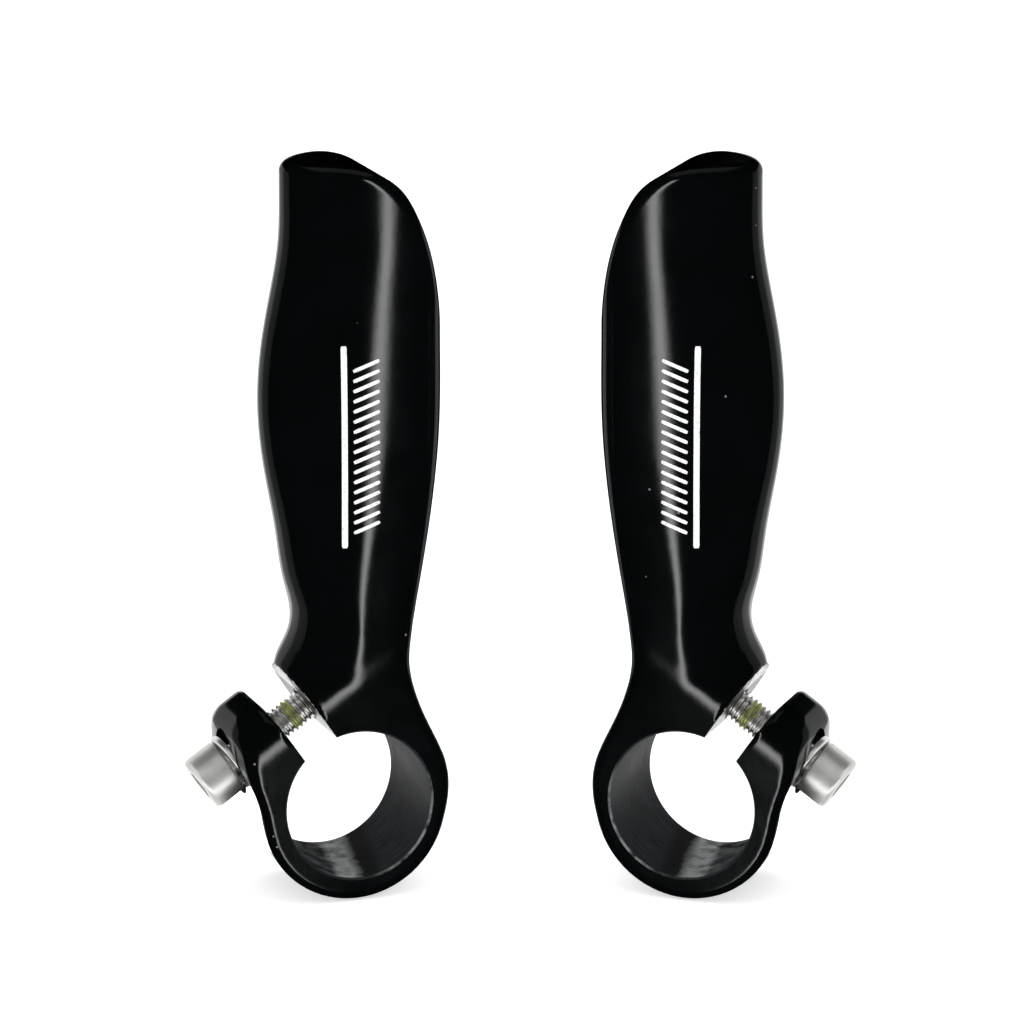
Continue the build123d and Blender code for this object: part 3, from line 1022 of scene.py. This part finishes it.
world = bpy.data.worlds.new("pale_room")
scene.world = world
world.use_nodes = True
world.node_tree.nodes["Background"].inputs["Color"].default_value = (1, 1, 1, 1)
world.node_tree.nodes["Background"].inputs["Strength"].default_value = 1.0
world.cycles_visibility.glossy = False

metals = receivers("metal_pieces", [o for group in bare for o in group])
ground_only = receivers("ground", [floor])


def round_lamp(name, side, azimuth, far, z, size, glow, only, out=BORE_SPREAD / 2):
    """A lamp at an azimuth from straight ahead of the camera, outwards from the middle of the pair."""
    x0 = side * out * MM
    a = math.radians(azimuth)
    lamp(name, (x0 + side * far * math.sin(a), far * math.cos(a), z), (x0, 0, z), size, glow, only)


for side, pair in ((-1, painted[0]), (1, painted[1])):
    own = receivers("own_%d" % (side + 1), pair)
    tag = "_%d" % (side + 1)
    a = math.radians(27.8) * -side
    # three strips close behind each other, for a highlight that is brighter in its middle
    for i, (wide, glow) in enumerate(((0.036, 1.5), (0.066, 1.4), (0.096, 0.8))):
        far = 0.5 + 0.004 * i
        lamp("strip%s_%d" % (tag, i), (side * 0.0178 + far * math.sin(a), -far * math.cos(a), 0.075),
             (side * 0.0178, 0, 0.055), (wide, 0.65), glow, own)
    round_lamp("rim_behind" + tag, side, 16, 0.5, -0.14, (0.26, 0.34), 0.75, own)
    round_lamp("rim_beside" + tag, side, 42, 0.5, -0.06, (0.20, 0.50), 0.25, own)
    round_lamp("rim_far" + tag, side, 66, 0.5, -0.06, (0.22, 0.50), 0.09, own)
    round_lamp("rim_high" + tag, side, 16, 0.5, 0.09, (0.24, 0.12), 0.45, own)
    round_lamp("rim_inner" + tag, side, -50, 0.5, -0.10, (0.24, 0.40), 0.22, own)
    round_lamp("low_behind" + tag, side, 11, 0.078, -0.036, (0.026, 0.021), 1.4, own, 40)
    round_lamp("low_beside" + tag, side, 28, 0.078, -0.038, (0.026, 0.025), 3.8, own, 40)
lamp("over", (0, 0.1, 0.9), (0, 0, 0), (0.8, 0.8), 0.10)
lamp("floor_light", (0, -0.2, 1.2), (0, 0, 0), (1.6, 1.6), 0.25, ground_only)
lamp("metal_floor", (0, 0, -0.5), (0, 0, 0), (1.2, 1.2), 0.62, metals)
lamp("metal_low", (0, -0.5, -0.30), (0, 0, 0), (1.4, 0.26), 1.7, metals)
lamp("metal_front", (0, -0.6, 0.02), (0, 0, 0.02), (1.4, 0.26), 0.30, metals)
lamp("metal_top", (0, -0.45, 0.45), (0, 0, 0), (1.5, 0.55), 0.50, metals)
lamp("metal_left", (-0.55, 0, 0), (0, 0, 0), (1.1, 1.1), 0.75, metals)
lamp("metal_right", (0.55, 0, 0), (0, 0, 0), (1.1, 1.1), 0.75, metals)
lamp("metal_back", (0, 0.55, 0), (0, 0, 0), (1.1, 1.1), 0.9, metals)

camera_data = bpy.data.cameras.new("camera")
camera_data.lens = 215.0
camera = bpy.data.objects.new("camera", camera_data)
scene.collection.objects.link(camera)
scene.camera = camera
look_at = Vector((-0.001266, 0.0, 0.042405))
rise = math.radians(14.59)
camera.location = look_at + 0.9 * Vector((0, -math.cos(rise), math.sin(rise)))
camera.rotation_mode = "QUATERNION"
camera.rotation_quaternion = (look_at - camera.location).to_track_quat("-Z", "Y")
camera_data.clip_start = 0.01
camera_data.clip_end = 50.0
